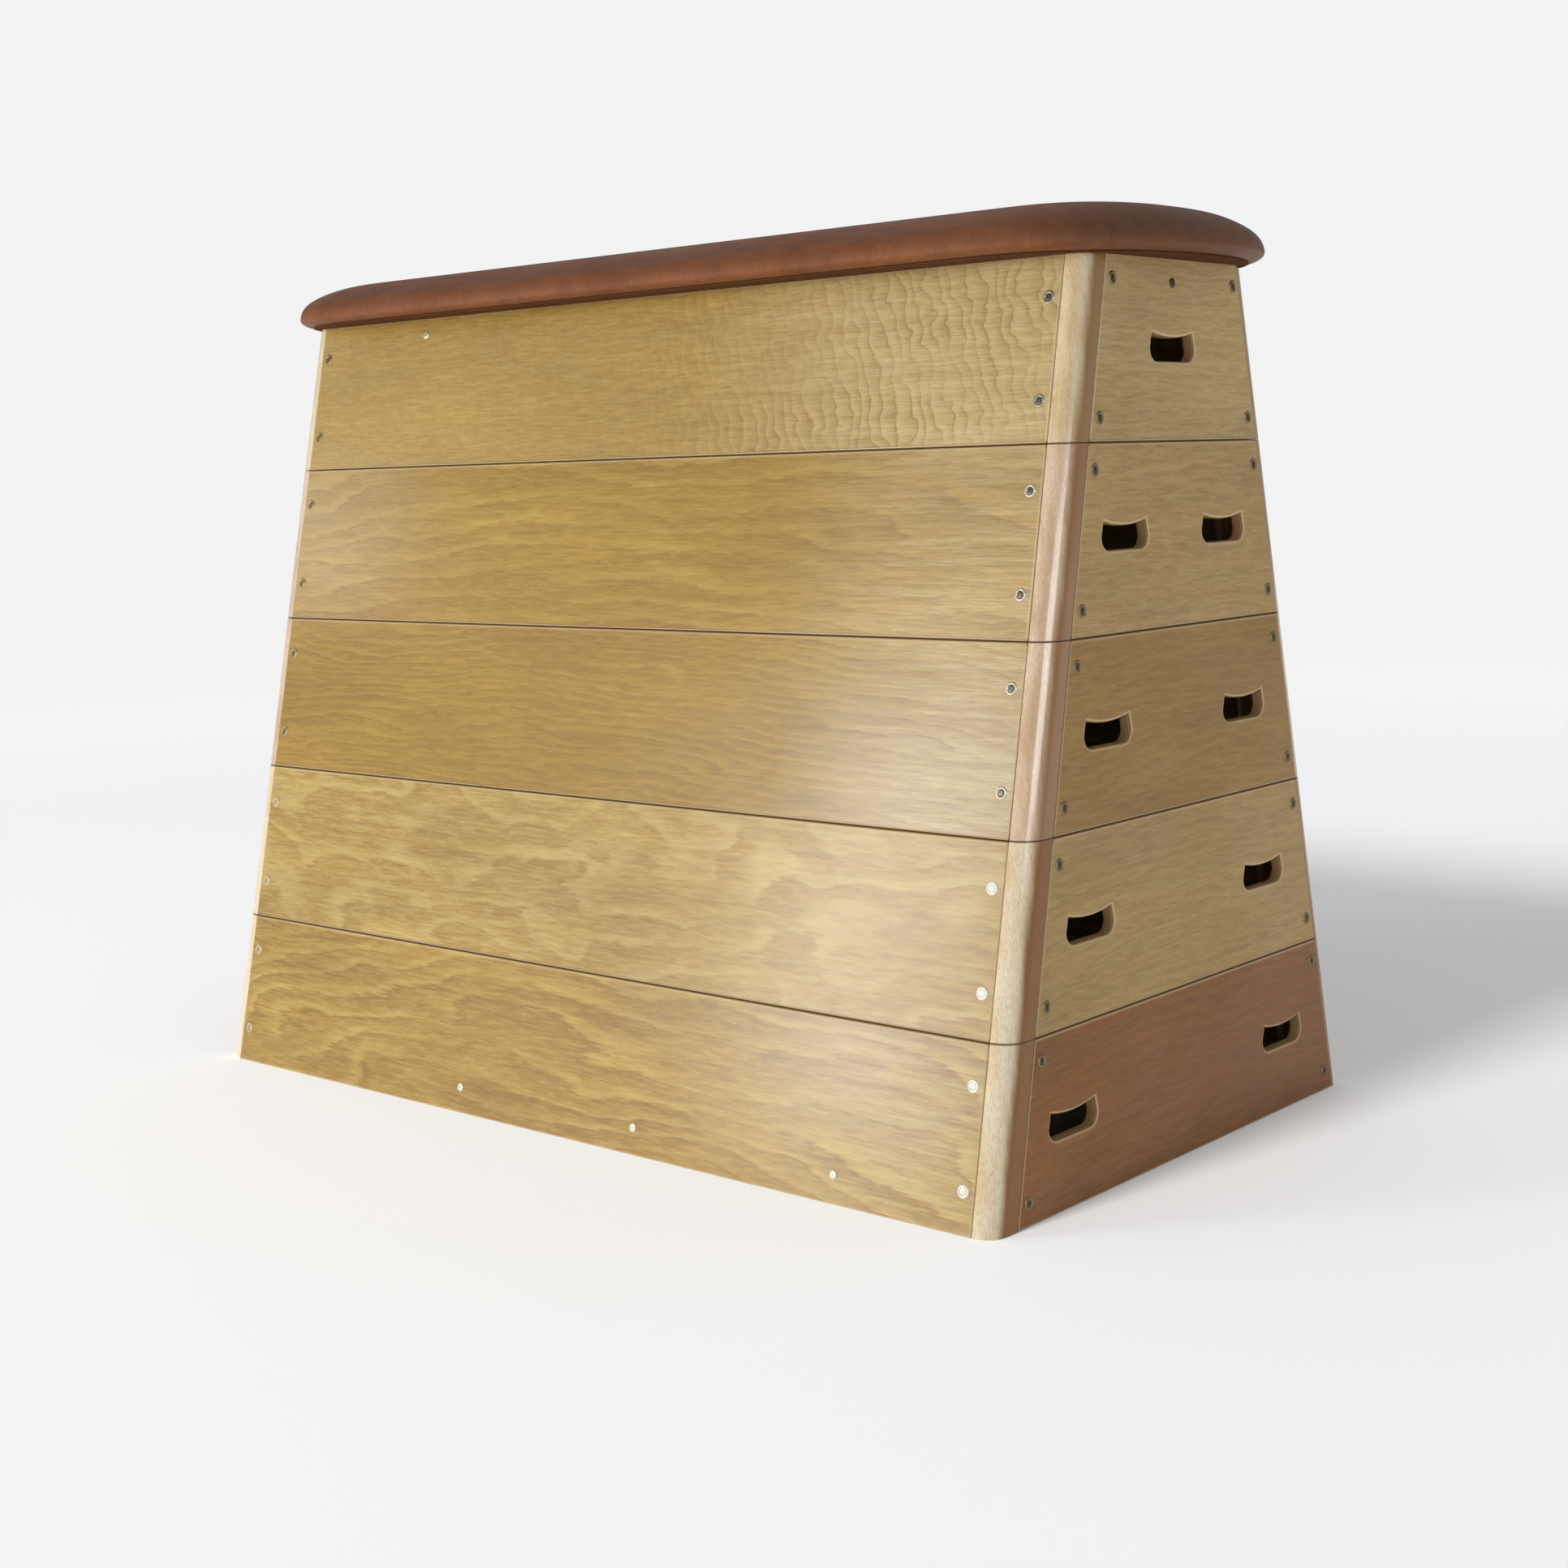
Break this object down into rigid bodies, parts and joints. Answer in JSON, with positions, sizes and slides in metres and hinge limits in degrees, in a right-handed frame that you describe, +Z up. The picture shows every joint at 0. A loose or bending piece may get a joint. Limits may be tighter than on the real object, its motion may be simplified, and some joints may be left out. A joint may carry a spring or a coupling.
{
  "type": "vaulting box",
  "caption": "Tapered gymnastics vaulting box: stacked plywood sections with corner posts and hand holes under a padded leatherette top; each section lifts off its dowels.",
  "frame": {"origin": "on the floor, under the middle of the box", "axes": "+X along the box's length, +Y across its width, +Z up"},
  "size_m": [1.472, 0.774, 1.0999],
  "materials": {
    "side_plywood": "varnished birch plywood, honey, satin gloss",
    "end_plywood": "varnished plywood, darker honey brown, satin",
    "bottom_end_plywood": "varnished plywood, reddish brown, satin",
    "corner_post": "varnished solid beech, rounded, glossy",
    "plain_timber": "unvarnished softwood and plywood",
    "foam": "firm upholstery foam",
    "leatherette": "brown leatherette, fine grain, low sheen",
    "screw_steel": "zinc-plated steel"
  },
  "bodies": {
    "bottom_section": {"bottom_side_panel_front": "side_plywood", "bottom_side_panel_back": "side_plywood", "bottom_end_panel_left": "bottom_end_plywood", "bottom_end_panel_right": "bottom_end_plywood", "bottom_corner_post_front_left": "corner_post", "bottom_corner_post_front_right": "corner_post", "bottom_corner_post_back_left": "corner_post", "bottom_corner_post_back_right": "corner_post", "floor_batten_front": "plain_timber", "floor_batten_back": "plain_timber"},
    "lower_section": {"lower_side_panel_front": "side_plywood", "lower_side_panel_back": "side_plywood", "lower_end_panel_left": "end_plywood", "lower_end_panel_right": "end_plywood", "lower_corner_post_front_left": "corner_post", "lower_corner_post_front_right": "corner_post", "lower_corner_post_back_left": "corner_post", "lower_corner_post_back_right": "corner_post"},
    "middle_section": {"middle_side_panel_front": "side_plywood", "middle_side_panel_back": "side_plywood", "middle_end_panel_left": "end_plywood", "middle_end_panel_right": "end_plywood", "middle_corner_post_front_left": "corner_post", "middle_corner_post_front_right": "corner_post", "middle_corner_post_back_left": "corner_post", "middle_corner_post_back_right": "corner_post"},
    "upper_section": {"upper_side_panel_front": "side_plywood", "upper_side_panel_back": "side_plywood", "upper_end_panel_left": "end_plywood", "upper_end_panel_right": "end_plywood", "upper_corner_post_front_left": "corner_post", "upper_corner_post_front_right": "corner_post", "upper_corner_post_back_left": "corner_post", "upper_corner_post_back_right": "corner_post"},
    "top_section": {"top_side_panel_front": "side_plywood", "top_side_panel_back": "side_plywood", "top_end_panel_left": "end_plywood", "top_end_panel_right": "end_plywood", "top_corner_post_front_left": "corner_post", "top_corner_post_front_right": "corner_post", "top_corner_post_back_left": "corner_post", "top_corner_post_back_right": "corner_post", "pad_bearer_left": "plain_timber", "pad_bearer_right": "plain_timber", "pad_cleat_left": "plain_timber", "pad_cleat_right": "plain_timber", "pad_board": "plain_timber", "pad_foam": "foam", "pad_cover": "leatherette", "bearer_screw_left": "screw_steel", "bearer_screw_right": "screw_steel", "cleat_screw_left": "screw_steel", "cleat_screw_right": "screw_steel", "pad_screw_front_left": "screw_steel", "pad_screw_front_right": "screw_steel", "pad_screw_back_left": "screw_steel", "pad_screw_back_right": "screw_steel"}
  },
  "joints": [
    {"name": "lower_section_lift", "type": "slide", "parent": "bottom_section", "child": "lower_section", "axis": [0, 0, 1], "range_m": [0, 0.25]},
    {"name": "middle_section_lift", "type": "slide", "parent": "lower_section", "child": "middle_section", "axis": [0, 0, 1], "range_m": [0, 0.25]},
    {"name": "upper_section_lift", "type": "slide", "parent": "middle_section", "child": "upper_section", "axis": [0, 0, 1], "range_m": [0, 0.25]},
    {"name": "top_section_lift", "type": "slide", "parent": "upper_section", "child": "top_section", "axis": [0, 0, 1], "range_m": [0, 0.25]}
  ]
}
